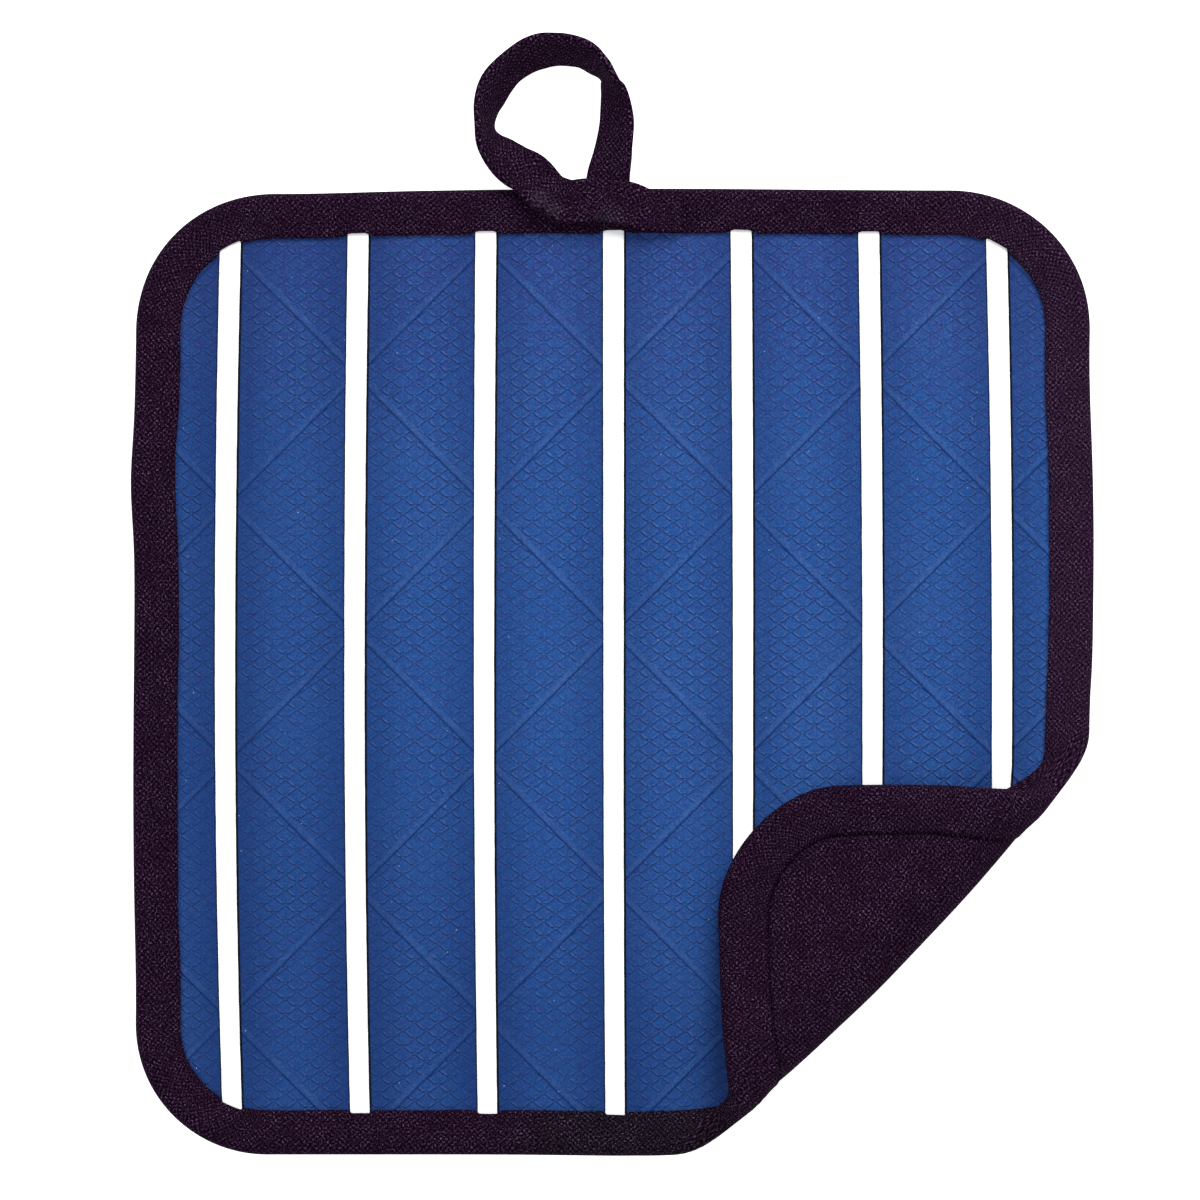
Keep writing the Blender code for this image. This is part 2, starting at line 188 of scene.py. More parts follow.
silicone = {
    "blue": "#174380",
    # painted shade in the grooves of the scales and below the ridges
    "groove": "#07265E",
    "deep": "#06194A",  # painted shade against the strips and towards the edge
    "pale": "#3A588D",  # painted highlight on the scales' lips and on the ridges, and pale bloom and grain at random
    "violet": "#252F6C",  # painted sheen, up the face towards the loop, and small patches at random
    "gapShadow": "#030916",  # painted shadow in the gap beside each strip
    "white": "#FAFAF9",
    "cool": "#F4F6F8",  # clouds in the white
    "glintColour": "#8FA6D0",
    "clarityPatch": 13.0,  # sizes in mm
    "bloomPatch": 36.0,
    "grain": 0.4,
    "cloud": 16.0,
    "pigmentPatch": 1.8,
    "glintPitch": 11.0,
    "glintRadius": 0.13,
    "peel": 1.1,
    "peelDepth": 0.012,
    "relief": 0.11,
    "grainRelief": 0.3,  # how high the grain stands, against the lips
    # how far along a scale's sides its groove ends, its lip starts and ends, and its edge drops
    "grooveEnd": 0.08,
    "lipStart": 0.7,
    "lipEnd": 0.82,
    "dropStart": 0.88,
    "faintSide": 0.75,  # the lower right sides are less deep than the lower left ones
    "besideStrip": 10.0,
    "leastShaded": (25.0, 10.0, 0.0),  # the place where the painted shade towards the edge is least
    "shadeReach": (45.0, 130.0),  # how far from there the painted shade starts and is full
    "violetFrom": (10.0, 90.0),  # between which heights up the face it turns violet
    "rightLine": 0.4,  # widths of the painted shadow lines beside each strip and below each ridge
    "leftLine": 0.2,
    "ridgeLine": 0.3,
    "leftStrength": 0.6,  # of the left line, against the right one
    # shares of a colour that is laid over the blue
    "violetShare": 0.6,
    "lipHighlight": 0.6,
    "bloom": 0.1,
    "ridgeHighlight": 0.25,
    "grainChalk": 0.6,
    "stripShade": 0.28,
    "edgeShade": 0.3,
    "grooveShade": 0.55,
    "ridgeLineShade": 1.6,  # as many times the groove's
    "grainShade": 0.45,
}


def fishScales(material):
    # Scales in the emboss, from how far along its two sides a point lies in its own scale: each
    # has a raised lip along its lower sides, a groove below it and a nub at its lowest corner.
    counts = add(material, "SeparateXYZ", {0: add(material, "UVMap", uv_map="scales").outputs["UV"]})
    shares = [calculate(material, "FRACT", counts.outputs[axis]) for axis in ("X", "Y")]
    nearer = calculate(material, "MINIMUM", *shares)
    nub = ramp(material, nearer, 0.78, 0.84)
    beforeNub = calculate(material, "SUBTRACT", 1.0, nub)
    grooves, lips = [], []
    for share, depth in zip(shares, (silicone["faintSide"], 1.0)):
        rise = ramp(material, share, 0.0, silicone["grooveEnd"])
        drop = ramp(material, share, silicone["dropStart"], 1.0, 1.0, 0.0)
        fallen = calculate(material, "MULTIPLY", calculate(material, "SUBTRACT", 1.0, drop), beforeNub)
        hollow = calculate(material, "MAXIMUM", calculate(material, "SUBTRACT", 1.0, rise), fallen)
        grooves.append(calculate(material, "MULTIPLY", hollow, depth))
        lip = ramp(material, share, silicone["lipStart"], silicone["lipEnd"], 0.0, depth)
        lips.append(calculate(material, "MULTIPLY", lip, drop))
    groove = calculate(material, "MAXIMUM", *grooves)
    lip = calculate(material, "MAXIMUM", *lips)
    gap = calculate(material, "MULTIPLY", ramp(material, nearer, 0.6, 0.68, 0.0, 0.6), beforeNub)
    gap = calculate(material, "MULTIPLY", gap, lip)
    ends = ramp(material, nearer, 0.05, 0.22)
    lip = calculate(material, "MULTIPLY", calculate(material, "SUBTRACT", lip, gap), ends)
    return calculate(material, "MAXIMUM", groove, gap), calculate(material, "MAXIMUM", lip, nub)


def besideStrips(material, flat):
    # a point's distance from the nearest strip's middle, right of it above zero, on the lines of
    # stripMiddle, and half the strip's width there
    upward = calculate(material, "DIVIDE", flat.outputs["Y"], strip["halfLength"])
    bowed = calculate(material, "MULTIPLY", calculate(material, "POWER", upward, 2.0), -strip["bow"])
    pitch = calculate(material, "ADD", bowed, strip["pitch"])
    below = calculate(material, "POWER", calculate(material, "MINIMUM", upward, 0.0), 2.0)
    upright = calculate(material, "MULTIPLY_ADD", below, -strip["lean"], flat.outputs["X"])
    column = calculate(material, "DIVIDE", upright, pitch)
    column = calculate(material, "SUBTRACT", column, calculate(material, "ROUND", column))
    halfWidth = calculate(material, "MULTIPLY_ADD", upward, strip["narrowing"] / 4,
                          strip["width"] / 2 - strip["narrowing"] / 4)
    return calculate(material, "MULTIPLY", column, pitch), halfWidth


def band(material, value, start, end, softness, height=1.0):
    # as high as given between start and end, and 0 beyond them
    rise = ramp(material, value, start - softness, start, 0.0, height)
    return calculate(material, "MULTIPLY", rise, ramp(material, value, end, end + softness, 1.0, 0.0))


def ridgeBands(material, flat):
    # how much a point is on a ridge, and on the painted shadow line along its lower side
    ridge, line = 0.0, 0.0
    spacing = face["ridgePitch"] / math.sqrt(2)
    foot = face["ridgeFoot"]
    for slope in (1, -1):
        offset = calculate(material, "MULTIPLY_ADD", flat.outputs["X"], slope, flat.outputs["Y"])
        offset = calculate(material, "SUBTRACT", offset, face["ridgeCrossing"])
        offset = calculate(material, "DIVIDE", offset, math.sqrt(2))
        offset = calculate(material, "WRAP", offset, spacing / 2, -spacing / 2)
        on = band(material, offset, -foot, foot, 0.12)
        under = band(material, offset, -foot - silicone["ridgeLine"] / 2, -foot, 0.1)
        ridge = calculate(material, "MAXIMUM", ridge, on)
        line = calculate(material, "MAXIMUM", line, under)
    return ridge, line


def shadowBesideStrips(material, offset, away):
    # painted shadow in the gap between each strip and the blue: a dark line along both sides of each
    # strip, wider and stronger on the right
    isRight = calculate(material, "GREATER_THAN", offset, 0.0)
    isLeft = calculate(material, "SUBTRACT", 1.0, isRight)
    right = band(material, away, -0.3, silicone["rightLine"], 0.15)
    left = band(material, away, -0.3, silicone["leftLine"], 0.15, silicone["leftStrength"])
    right = calculate(material, "MULTIPLY", isRight, right)
    return calculate(material, "MAXIMUM", right, calculate(material, "MULTIPLY", isLeft, left))


def paintedGlints(material, pattern):
    # painted glints: a few small specks of highlight, most of them faint
    inputs = {"Vector": pattern, "Scale": 1 / silicone["glintPitch"]}
    spots = add(material, "TexVoronoi", inputs, voronoi_dimensions="2D")
    size = silicone["glintRadius"] / silicone["glintPitch"]
    glint = ramp(material, spots.outputs["Distance"], size / 2, size, 1.0, 0.0)
    luck = add(material, "SeparateXYZ", {0: spots.outputs["Color"]}).outputs["X"]
    return calculate(material, "MULTIPLY", glint, ramp(material, luck, 0.4, 1.0))


def mouldedSilicone():
    # Compression-moulded silicone rubber, pigmented: an even satin blue, with painted shade in the
    # grooves, below the ridges, against the strips and towards the edge, painted highlights on its lips
    # and ridges, a painted violet sheen up the face and a few painted glints. The emboss is clear here and
    # faint there.
    material, shader = newMaterial(
        "moulded blue silicone", Roughness=0.5, IOR=1.41, Specular_IOR_Level=0.1)
    pattern = add(material, "UVMap", uv_map="pattern").outputs["UV"]
    flat = add(material, "SeparateXYZ", {0: pattern})
    place = inMillimetres(material)
    offset, halfWidth = besideStrips(material, flat)
    away = calculate(material, "SUBTRACT", calculate(material, "ABSOLUTE", offset), halfWidth)
    groove, lip = fishScales(material)
    ridge, ridgeLine = ridgeBands(material, flat)

    clarity = ramp(material, mottle(material, place, silicone["clarityPatch"]), 0.35, 0.6, 0.55, 1.0)
    clarity = calculate(material, "MULTIPLY", clarity, ramp(material, away, 0.4, 3.5, 0.5, 1.0))
    clarity = calculate(material, "MULTIPLY", clarity, calculate(material, "SUBTRACT", 1.0, ridge))
    groove = calculate(material, "MULTIPLY", groove, clarity)
    lip = calculate(material, "MULTIPLY", lip, clarity)
    grain = mottle(material, place, silicone["grain"], 3.0)
    blooms = mottle(material, place, silicone["bloomPatch"], 3.0)
    bloom = ramp(material, blooms, 0.4, 0.7, 0.0, silicone["bloom"])
    # painted highlight on the scales' lips and the ridges, with pale bloom and grain at random
    chalkAndHighlight = calculate(material, "MULTIPLY_ADD", lip, silicone["lipHighlight"], bloom)
    chalkAndHighlight = calculate(material, "MULTIPLY_ADD", ridge, silicone["ridgeHighlight"], chalkAndHighlight)
    grainChalk = ramp(material, grain, 0.48, 0.7, 0.0, silicone["grainChalk"])
    chalkAndHighlight = calculate(material, "ADD", chalkAndHighlight, grainChalk)
    # painted sheen: the blue turns violet up the face
    up = add(material, "SeparateXYZ", {0: place}).outputs["Y"]
    upper = ramp(material, up, *silicone["violetFrom"], 0.0, silicone["violetShare"])
    patches = ramp(material, mottle(material, place, silicone["pigmentPatch"]), 0.35, 0.65, -0.2, 0.35)
    violet = calculate(material, "ADD", upper, patches)
    colour = blend(material, violet, linear(silicone["blue"]), linear(silicone["violet"]))
    colour = blend(material, chalkAndHighlight, colour, linear(silicone["pale"]))
    # painted shade towards the edge and beside each strip
    fromLeastShaded = add(material, "VectorMath", {0: place, 1: silicone["leastShaded"]},
                      operation="DISTANCE").outputs["Value"]
    edgeShade = ramp(material, fromLeastShaded, *silicone["shadeReach"], 0.0, silicone["edgeShade"])
    stripShade = ramp(material, away, 0.0, silicone["besideStrip"], silicone["stripShade"], 0.0)
    shaded = calculate(material, "ADD", stripShade, edgeShade)
    colour = blend(material, shaded, colour, linear(silicone["deep"]))
    # painted shade in the grooves and painted shadow below the ridges, with darker grain at random
    dark = calculate(material, "MULTIPLY", ridgeLine, silicone["ridgeLineShade"])
    dark = calculate(material, "MAXIMUM", groove, dark)
    grainShade = ramp(material, grain, 0.3, 0.5, silicone["grainShade"], 0.0)
    dark = calculate(material, "MULTIPLY_ADD", dark, silicone["grooveShade"], grainShade)
    colour = blend(material, dark, colour, linear(silicone["groove"]))
    # painted glints
    colour = blend(material, paintedGlints(material, pattern), colour, linear(silicone["glintColour"]))
    # painted shadow in the gap beside each strip
    stripGapShadow = shadowBesideStrips(material, offset, away)
    colour = blend(material, stripGapShadow, colour, linear(silicone["gapShadow"]))
    height = calculate(material, "SUBTRACT", lip, groove)
    height = calculate(material, "MULTIPLY_ADD", grain, silicone["grainRelief"], height)
    joinShader(material, shader, colour, height, silicone["relief"])
    return material


def whiteSilicone():
    # The same rubber pigmented white, cut in strips: smooth, with a faint orange peel.
    material, shader = newMaterial(
        "white silicone strip", Roughness=0.42, IOR=1.41, Specular_IOR_Level=0.3)
    place = inMillimetres(material)
    clouds = mottle(material, place, silicone["cloud"])
    colour = blend(material, clouds, linear(silicone["white"]), linear(silicone["cool"]))
    joinShader(material, shader, colour, mottle(material, place, silicone["peel"]), silicone["peelDepth"])
    return material


outline = {
    "width": 202.8,
    "height": 204.1,
    "upperCornerRadius": 30.0,
    "lowerCornerRadius": 28.0,
    "turnedCornerRadius": 26.0,
    # columns: side, place along the side, offset outwards, spread
    "bumps": (
        ("left", 40.0, 0.8, 11.0),
        ("left", 74.0, -0.3, 14.0),
        ("left", -24.0, 0.3, 30.0),
        ("left", -68.0, -0.3, 16.0),
        ("right", 66.0, -0.6, 18.0),
        ("right", 28.0, 0.3, 22.0),
        ("right", -9.0, -0.5, 9.0),
        ("right", -43.0, -0.4, 10.0),
        ("right", -82.0, 1.3, 24.0),
        ("top", -70.0, -0.7, 22.0),
        ("top", 10.0, 0.4, 38.0),
        ("bottom", 6.0, 0.3, 20.0),
        ("bottom", 78.0, 0.7, 26.0),
    ),
}
sideNormals = {
    "left": Vector((-1.0, 0.0)),
    "right": Vector((1.0, 0.0)),
    "top": Vector((0.0, 1.0)),
    "bottom": Vector((0.0, -1.0)),
}
# columns: side in x, side in y, angle where its arc starts, radius
corners = (
    (1, -1, -90.0, outline["turnedCornerRadius"]),
    (1, 1, 0.0, outline["upperCornerRadius"]),
    (-1, 1, 90.0, outline["upperCornerRadius"]),
    (-1, -1, 180.0, outline["lowerCornerRadius"]),
)


def cornerCentre(sideX, sideY, radius):
    return Vector((sideX * (outline["width"] / 2 - radius), sideY * (outline["height"] / 2 - radius)))


def bumped(point, normal):
    moved = point.copy()
    for side, place, offset, spread in outline["bumps"]:
        along = point.y if side in ("left", "right") else point.x
        share = max(0.0, normal.dot(sideNormals[side]))
        moved += sideNormals[side] * offset * share * math.exp(-((along - place) / spread) ** 2)
    return moved


def edgeStations(step):
    # points of the edge with their outward normals, anticlockwise from the lower right corner
    arcs = []
    for sideX, sideY, firstAngle, radius in corners:
        count = round(math.pi / 2 * radius / step)
        centre = cornerCentre(sideX, sideY, radius)
        angles = [math.radians(firstAngle + 90.0 * index / count) for index in range(count + 1)]
        normals = [Vector((math.cos(angle), math.sin(angle))) for angle in angles]
        arcs.append([(centre + normal * radius, normal) for normal in normals])
    stations = []
    for arc, nextArc in zip(arcs, arcs[1:] + arcs[:1]):
        stations += arc
        start, normal = arc[-1]
        end = nextArc[0][0]
        count = round((end - start).length / step)
        stations += [(start.lerp(end, index / count), normal) for index in range(1, count)]
    return [(bumped(point, normal), normal) for point, normal in stations]


turn = {
    "angle": math.radians(-43.7),  # points from the middle to the turned corner
    "start": 76.0,
    "halfWidth": 56.0,
    "bowRight": 2.3,
    "bowBottom": 3.2,
    # the roll in section, as lengths with the angle of the cloth where each ends
    "spans": ((7.0, 30.0), (14.4, 180.0), (9.0, 202.0), (25.0, 178.0)),
    "quarter": 12.76,  # length from the roll's start to where the cloth stands upright
    "pinchRight": 9.0,
    "pinchBottom": 6.5,
    "pinchBefore": 2.2,
    "pinchAfter": 24.0,
    "untouched": 60.0,  # nothing moves below this
    "neutralHeight": 2.35,
}
turnNormal = Vector((math.cos(turn["angle"]), math.sin(turn["angle"])))
turnAxis = Vector((math.sin(turn["angle"]), -math.cos(turn["angle"])))


def rollSection(length):
    # place and angle on the roll's neutral line, at a length past the start of the roll
    if length <= 0.0:
        return length, 0.0, 0.0
    across, height, angle = 0.0, 0.0, 0.0
    for span, endDegrees in turn["spans"]:
        radius = span / (math.radians(endDegrees) - angle)
        reached = angle + min(length, span) / radius
        across += radius * (math.sin(reached) - math.sin(angle))
        height += radius * (math.cos(angle) - math.cos(reached))
        angle = reached
        length -= span
        if length <= 0.0:
            return across, height, angle
    return across + length * math.cos(angle), height + length * math.sin(angle), angle


def turnedOver(point):
    # where a point of the flat drawing lies once the corner is turned over
    alongNormal = point.xy.dot(turnNormal)
    if alongNormal < turn["untouched"]:
        return point
    alongAxis = point.xy.dot(turnAxis)
    endShare = alongAxis / turn["halfWidth"]
    bow = turn["bowRight"] if endShare < 0.0 else turn["bowBottom"]
    start = turn["start"] - bow * endShare ** 2
    fromFold = alongNormal - start - turn["quarter"]
    reach = turn["pinchBefore"] if fromFold < 0.0 else turn["pinchAfter"]
    pinch = turn["pinchRight"] if endShare < 0.0 else turn["pinchBottom"]
    alongAxis -= pinch * endShare * abs(endShare) * math.exp(-(fromFold / reach) ** 2)
    across, height, angle = rollSection(alongNormal - start)
    above = point.z - turn["neutralHeight"]
    across -= above * math.sin(angle)
    height += above * math.cos(angle)
    place = turnNormal * (start + across) + turnAxis * alongAxis
    return Vector((place.x, place.y, height + turn["neutralHeight"]))


def uneven(point, size, amount, seed=0.0):
    return amount * noise.noise(Vector((point.x / size, point.y / size, seed)))


def smoothStep(share):
    share = min(1.0, max(0.0, share))
    return share * share * (3.0 - 2.0 * share)


def newSheet(columns, rows, patterns=("pattern",)):
    # a flat grid, with the column and row of each of its points
    mesh = bmesh.new()
    for pattern in patterns:
        mesh.loops.layers.uv.new(pattern)
    bmesh.ops.create_grid(mesh, x_segments=columns, y_segments=rows, size=0.5)
    return mesh, [
        (vert, round((vert.co.x + 0.5) * columns), round((vert.co.y + 0.5) * rows))
        for vert in mesh.verts
    ]


def keepPattern(mesh, pattern="pattern"):
    # keeps each point's present x and y for its material to follow
    layer = mesh.loops.layers.uv[pattern]
    for part in mesh.faces:
        for corner in part.loops:
            corner[layer].uv = corner.vert.co.xy


def around(faces):
    # the faces with their edges and points, each once, for the cutting operators. A dict keeps their
    # order, so that each run cuts alike; a set would follow their addresses in memory.
    edges = dict.fromkeys(edge for part in faces for edge in part.edges)
    verts = dict.fromkeys(vert for part in faces for vert in part.verts)
    return [*verts, *edges, *faces]


def clipToOutline(mesh, inset):
    # cuts away what lies past the rounded square, inset from its edge
    planes = [
        (Vector((outline["width"] / 2 - inset, 0.0)), Vector((1.0, 0.0))),
        (Vector((inset - outline["width"] / 2, 0.0)), Vector((-1.0, 0.0))),
        (Vector((0.0, outline["height"] / 2 - inset)), Vector((0.0, 1.0))),
        (Vector((0.0, inset - outline["height"] / 2)), Vector((0.0, -1.0))),
    ]
    for point, normal in planes:
        bmesh.ops.bisect_plane(mesh, geom=around(mesh.faces), dist=0.001, plane_co=(*point, 0.0),
                               plane_no=(*normal, 0.0), clear_outer=True)
    for sideX, sideY, firstAngle, radius in corners:
        centre = cornerCentre(sideX, sideY, radius)
        for tangentAngle in range(10, 90, 10):
            angle = math.radians(firstAngle + tangentAngle)
            normal = Vector((math.cos(angle), math.sin(angle)))
            middle = Vector((sideX, sideY)).normalized()
            near = [
                part for part in mesh.faces
                if (part.calc_center_median().xy - centre).dot(middle) > radius * 0.6
            ]
            bmesh.ops.bisect_plane(
                mesh, geom=around(near), dist=0.001, plane_co=(*(centre + normal * (radius - inset)), 0.0),
                plane_no=(*normal, 0.0), clear_outer=True)


def makePiece(mesh, name, material, nodes, sharp=60.0, isTurned=True):
    for vert in mesh.verts:
        flat = turnedOver(vert.co) if isTurned else vert.co
        vert.co = flat * mm + drawingMiddle
    data = bpy.data.meshes.new(name)
    mesh.to_mesh(data)
    mesh.free()
    data.materials.append(material)
    data.shade_smooth()
    data.set_sharp_from_angle(angle=math.radians(sharp))
    piece = bpy.data.objects.new(name, data)
    bpy.context.scene.collection.objects.link(piece)
    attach(piece, "root")
    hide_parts(*nodes)
    return piece


def thicken(piece, thickness):
    solid = piece.modifiers.new("thickness", "SOLIDIFY")
    solid.thickness = thickness * mm
    solid.offset = 0.0


face = {
    "inset": 2.0,
    "bottom": 2.4,
    "top": 3.6,
    "scaleWidth": 4.975,
    "scaleHeight": 3.313,
    "scaleStart": (-66.98, 2.0),  # a point where four scales meet
    "cells": 96,
    "firstAcross": -35,
    "firstDown": -62,
    "cuts": (0.0, 0.1, 0.5, 0.88),  # where each scale is cut along its sides, as shares
    "sag": 0.3,  # how far the scales' lower sides bow downwards
    "field": 0.03,
    "tilt": 0.035,
    "ridgePitch": 54.4,
    "ridgeCrossing": 9.1,
    "ridgeFoot": 0.72,
    "ridgeShoulder": 0.42,
    "ridgeHeight": 0.26,
    # where its underside is cut so that it can roll: first, last and step, towards the turned corner
    "rows": ((72.0, 81.0, 3.0), (82.3, 101.0, 1.3), (104.0, 130.0, 4.5)),
    "sharp": 32.0,
}
strip = {
    "count": 7,
    "width": 4.42,
    "narrowing": 0.34,  # from the upper end to the lower one
    "pitch": 27.4,
    "bow": 0.42,
    "lean": 0.35,  # to the right, at the lower ends
    "halfLength": 95.0,
    "bottom": 3.62,
    "top": 4.4,
    "round": 0.16,
    "cutEvery": 1.5,
    "lengthwiseCuts": (-1.2, 0.0, 1.2),
    "ragged": 0.05,
}


def scaleGrid():
    # fish scales: each rises from the groove at its upper sides to its lower ones, which bow
    cuts = face["cuts"]
    size = face["cells"] * len(cuts)
    mesh, places = newSheet(size, size, ("scales", "pattern"))
    startX, startY = face["scaleStart"]
    for vert, column, row in places:
        a = face["firstAcross"] + column // len(cuts) + cuts[column % len(cuts)]
        b = face["firstDown"] + row // len(cuts) + cuts[row % len(cuts)]
        vert.co = (a, b, 0.0)
    keepPattern(mesh, "scales")
    for vert, column, row in places:
        a, b, _ = vert.co
        shares = cuts[column % len(cuts)], cuts[row % len(cuts)]
        sag = face["sag"] * sum(math.sin(math.pi * share) for share in shares)
        height = face["field"] + face["tilt"] * sum(shares) if all(shares) else 0.0
        vert.co = (
            startX + (a - b) * face["scaleWidth"] / 2,
            startY - (a + b) * face["scaleHeight"] / 2 - sag,
            face["top"] + height,
        )
    return mesh


def ridgeLines():
    # a point of each ridge's middle line, and the direction across it
    for slope in (1, -1):
        normal = Vector((1.0, slope)).normalized()
        for line in range(-3, 4):
            yield Vector((0.0, face["ridgeCrossing"] + face["ridgePitch"] * line)), normal


def raiseRidges(mesh):
    foot, shoulder = face["ridgeFoot"], face["ridgeShoulder"]
    for through, normal in ridgeLines():
        near = [
            part for part in mesh.faces
            if abs((part.calc_center_median().xy - through).dot(normal)) < 3.0
        ]
        if not near:
            continue
        geometry = around(near)
        for offset in (-foot, -shoulder, shoulder, foot):
            point = through + normal * offset
            geometry = bmesh.ops.bisect_plane(
                mesh, geom=geometry, dist=0.02, plane_co=(*point, 0.0), plane_no=(*normal, 0.0))["geom"]
    for vert in mesh.verts:
        away = min(abs((vert.co.xy - through).dot(normal)) for through, normal in ridgeLines())
        if away > foot + 0.03:
            continue
        rise = smoothStep((foot - away) / (foot - shoulder))
        vert.co.z = face["top"] + 0.01 + face["ridgeHeight"] * rise


def embossedFace():
    mesh = scaleGrid()
    clipToOutline(mesh, face["inset"])
    raiseRidges(mesh)
    keepPattern(mesh)
    rim = [edge for edge in mesh.edges if edge.is_boundary]
    wall = bmesh.ops.extrude_edge_only(mesh, edges=rim)["geom"]
    for part in wall:
        if isinstance(part, bmesh.types.BMVert):
            part.co.z = face["bottom"]
    lowerRim = [part for part in wall if isinstance(part, bmesh.types.BMEdge) and part.is_boundary]
    floorFaces = bmesh.ops.edgeloop_fill(mesh, edges=lowerRim)["faces"]
    geometry = around(floorFaces)
    for start, end, step in face["rows"]:
        for index in range(int((end - start) / step) + 1):
            point = turnNormal * (start + step * index)
            geometry = bmesh.ops.bisect_plane(
                mesh, geom=geometry, dist=0.001, plane_co=(*point, 0.0),
                plane_no=(*turnNormal, 0.0))["geom"]
    many = [part for part in mesh.faces if len(part.verts) > 4]
    bmesh.ops.triangulate(mesh, faces=many)
    bmesh.ops.recalc_face_normals(mesh, faces=mesh.faces)
    return makePiece(mesh, "embossed_face", mouldedSilicone(), ["face_panel"],
                     sharp=face["sharp"])


facePiece = embossedFace()
print("face", len(facePiece.data.polygons), "faces")


def stripMiddle(column, share):
    # the strips bow a little outwards at mid-height, and lean a little below it
    return column * (strip["pitch"] - strip["bow"] * share ** 2) + strip["lean"] * min(0.0, share) ** 2


def whiteStrip(number, material):
    column = number - (strip["count"] + 1) / 2
    mesh = bmesh.new()
    bmesh.ops.create_cube(mesh, size=1.0)
    size = (strip["width"], 2 * strip["halfLength"], strip["top"] - strip["bottom"])
    bmesh.ops.scale(mesh, vec=size, verts=mesh.verts)
    bmesh.ops.translate(mesh, vec=(0.0, 0.0, (strip["top"] + strip["bottom"]) / 2), verts=mesh.verts)
    upper = [edge for edge in mesh.edges if all(vert.co.z > strip["bottom"] + 0.1 for vert in edge.verts)]
    bmesh.ops.bevel(mesh, geom=upper, offset=strip["round"], offset_type="OFFSET", segments=3,
                    profile=0.5, affect="EDGES", material=-1)
    for place in strip["lengthwiseCuts"]:
        bmesh.ops.bisect_plane(mesh, geom=around(mesh.faces), dist=0.001, plane_co=(place, 0.0, 0.0),
                               plane_no=(1.0, 0.0, 0.0))
    cuts = int(2 * strip["halfLength"] / strip["cutEvery"])
    for index in range(1, cuts):
        place = strip["halfLength"] * (2 * index / cuts - 1)
        bmesh.ops.bisect_plane(mesh, geom=around(mesh.faces), dist=0.001, plane_co=(0.0, place, 0.0),
                               plane_no=(0.0, 1.0, 0.0))
    for vert in mesh.verts:
        share = vert.co.y / strip["halfLength"]
        side = vert.co.x / (strip["width"] / 2)
        ragged = uneven(Vector((number * 9.0 + side, vert.co.y)), 3.0, strip["ragged"])
        narrowed = strip["narrowing"] * (share - 1) / 4
        vert.co.x += stripMiddle(column, share) + (ragged + narrowed) * side
    return makePiece(mesh, f"white_strip_{number}", material, [f"stripe_{number}"])


stripSilicone = whiteSilicone()
stripPieces = [whiteStrip(number, stripSilicone) for number in range(1, strip["count"] + 1)]
print("strips")


back = {
    "inset": 2.0,
    "middle": 1.6,
    "thickness": 1.0,
    "reach": 150.0,
    "stepAcross": 1.5,
    "stepAlong": 3.75,
    "wave": 0.25,
    "waveSize": 21.0,
}


def cottonBack():
    across, along = (round(2 * back["reach"] / back[step]) for step in ("stepAcross", "stepAlong"))
    mesh, places = newSheet(across, along)
    for vert, column, row in places:
        point = turnNormal * (column / across - 0.5) + turnAxis * (row / along - 0.5)
        vert.co = (*(point * 2 * back["reach"]), back["middle"])
    clipToOutline(mesh, back["inset"])
    keepPattern(mesh)
    for vert in mesh.verts:
        vert.co.z += uneven(vert.co, back["waveSize"], back["wave"])
    bmesh.ops.recalc_face_normals(mesh, faces=mesh.faces)
    duck = cottonCanvas("aubergine cotton duck")
    piece = makePiece(mesh, "cotton_back", duck, ["back_panel"])
    thicken(piece, back["thickness"])
    return piece


backPiece = cottonBack()
print("back", len(backPiece.data.polygons), "faces")


binding = {
    "step": 1.0,
    "thickness": 0.8,
    "backWidth": 10.6,
    "frontWidth": 9.5,
    "noseDepth": 2.2,
    "bottom": 0.4,  # heights of the middle of the tape
    "seamRise": 0.8,  # how much its edge on the back closes up to the cotton
    "noseTop": 4.9,
    "lip": 4.1,
    "overStrip": 0.72,  # how much the lip rises over a strip, and how far it draws back there
    "drawnBack": 0.7,
    "stripSoftness": 0.7,
    "backRows": 6,
    "noseRows": 12,
    "frontRows": 9,
    "wavy": 0.22,
    "wavyBack": 0.1,
    "wavySize": 9.0,
    "puffy": 0.22,
    # where the tape spreads before the turned corner, up the right side: place, width added, spread
    "spread": (-28.0, 12.0, 4.8),
}


def stripNearness(point, normal):
    # 1 where the lip crosses a strip's end, 0 between the strips
    if abs(normal.y) < 0.6:
        return 0.0
    lip = point - normal * binding["frontWidth"]
    share = lip.y / strip["halfLength"]
    columns = [number - (strip["count"] + 1) / 2 for number in range(1, strip["count"] + 1)]
    beyond = min(abs(lip.x - stripMiddle(column, share)) for column in columns) - strip["width"] / 2
    return 1.0 - smoothStep(beyond / binding["stripSoftness"])


